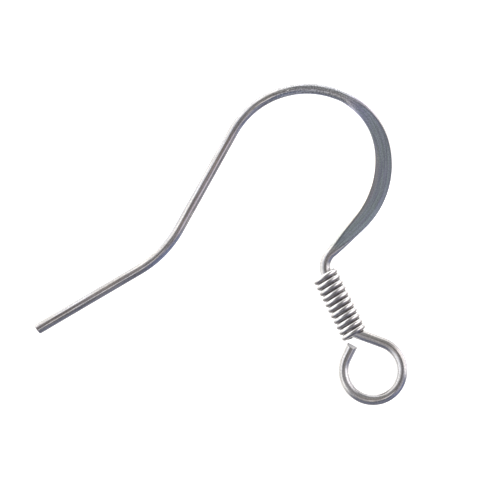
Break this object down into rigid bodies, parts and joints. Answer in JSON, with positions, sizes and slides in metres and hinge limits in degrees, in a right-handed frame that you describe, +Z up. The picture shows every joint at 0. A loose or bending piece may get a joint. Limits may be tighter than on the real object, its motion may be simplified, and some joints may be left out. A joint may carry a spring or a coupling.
{
  "type": "ear wire",
  "caption": "Fish-hook ear wire: round steel wire with a front pressed flat, a close-wound coil of finer wire on its shank and an open loop below for a drop.",
  "frame": {"origin": "middle of the outline seen from above, on the table that the ear wire lies on", "axes": "+Z up off the table, towards the viewer of the picture; +X to the picture's right, from the tail's tip towards the loop; +Y to the picture's top, towards the crown"},
  "size_m": [0.0238, 0.0205, 0.0018],
  "materials": {
    "wire_steel": "drawn stainless steel, bright, with faint lines along the wire and press marks on the blade",
    "coil_steel": "fine stainless steel wire, bright, with faint lines round each turn"
  },
  "bodies": {
    "root": {"hook_wire": "wire_steel", "coil": "coil_steel"}
  },
  "joints": []
}
